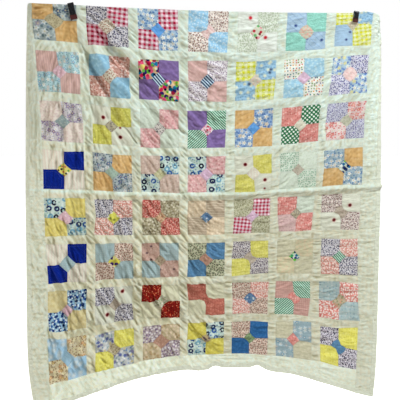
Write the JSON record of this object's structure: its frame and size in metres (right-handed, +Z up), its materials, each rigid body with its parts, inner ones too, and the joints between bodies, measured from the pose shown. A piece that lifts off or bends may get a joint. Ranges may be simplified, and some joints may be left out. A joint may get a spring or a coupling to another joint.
{
  "type": "patchwork quilt with spring clips",
  "caption": "Patchwork quilt hanging in soft folds from spring clips at its top edge, with side borders turned back and a bound edge.",
  "frame": {"origin": "the middle of the quilt's top edge, half way through its thickness", "axes": "+Z up, the quilt's front facing -Y, +X to its right-hand side as seen from the front"},
  "size_m": [1.6866, 0.1119, 1.8905],
  "materials": {
    "quilt_cotton": "plain-woven cotton patchwork, washed soft and puckered by hand quilting",
    "edge_binding": "off-white cotton strip folded round the edge",
    "clip_plastic": "black moulded plastic, slightly worn",
    "clip_tip": "dark red soft rubber",
    "clip_spring": "black spring steel"
  },
  "bodies": {
    "root": {"quilt": "quilt_cotton", "binding_left": "edge_binding", "binding_right": "edge_binding", "binding_bottom": "edge_binding", "clip_left_jaw_front": "clip_plastic", "clip_left_jaw_back": "clip_plastic", "clip_left_tip_front": "clip_tip", "clip_left_tip_back": "clip_tip", "clip_left_spring": "clip_spring", "clip_right_jaw_front": "clip_plastic", "clip_right_jaw_back": "clip_plastic", "clip_right_tip_front": "clip_tip", "clip_right_tip_back": "clip_tip", "clip_right_spring": "clip_spring"}
  },
  "joints": []
}
